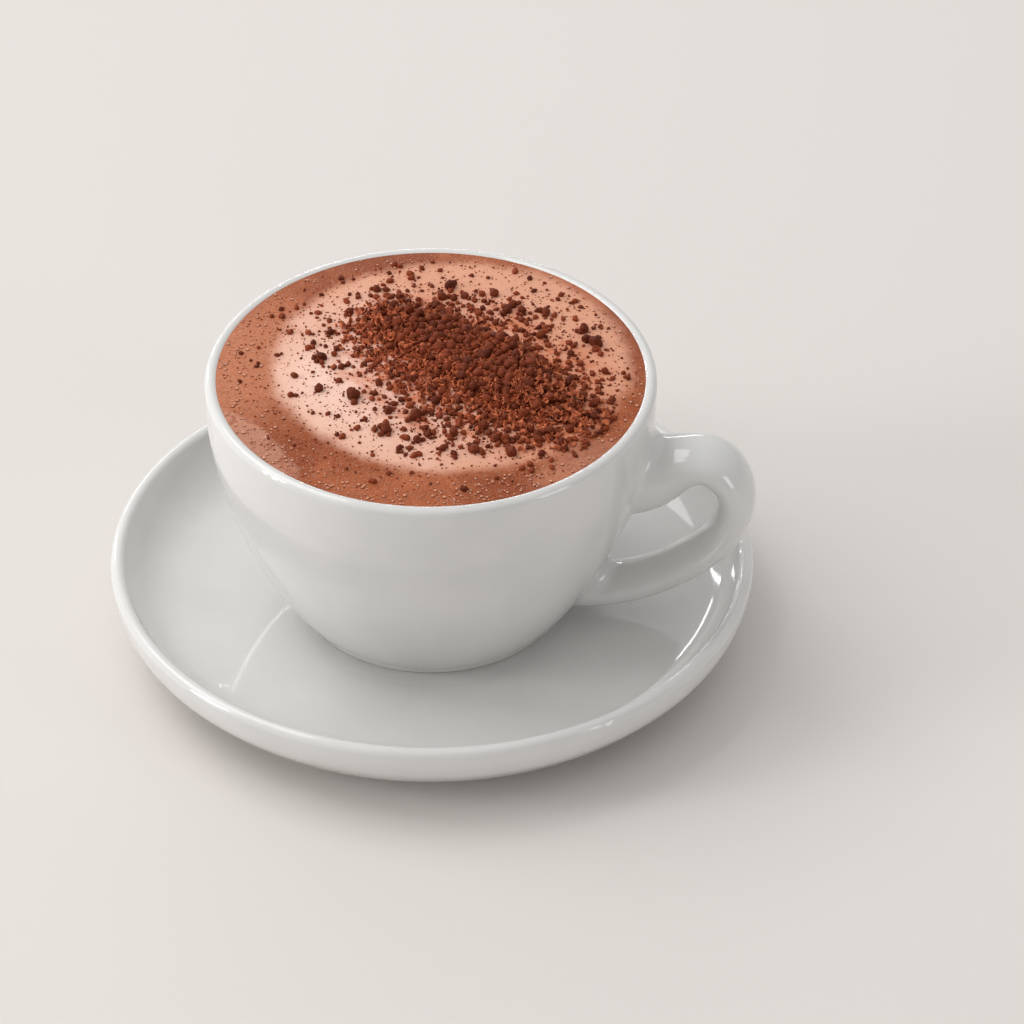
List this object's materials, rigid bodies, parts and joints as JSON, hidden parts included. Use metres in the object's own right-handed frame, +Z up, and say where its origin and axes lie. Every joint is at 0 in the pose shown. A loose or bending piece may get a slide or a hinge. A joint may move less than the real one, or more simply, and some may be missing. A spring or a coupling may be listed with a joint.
{
  "type": "hot chocolate",
  "caption": "Wide porcelain cup of frothy hot chocolate with a loop handle, filled to the brim, topped with crumbled chocolate and standing on its deep saucer.",
  "frame": {"origin": "on the table, on the common axis of cup and saucer", "axes": "+Z up, the cup's handle points along +X, turned 10 degrees towards -Y"},
  "size_m": [0.1526, 0.1526, 0.0784],
  "materials": {
    "porcelain": "glossy white glaze",
    "drink": "moist froth with fine bubbles",
    "chocolate": "dull crumbled chocolate"
  },
  "bodies": {
    "root": {"cup": "porcelain", "saucer": "porcelain", "drink": "drink", "chocolate_heap": "chocolate"}
  },
  "joints": []
}
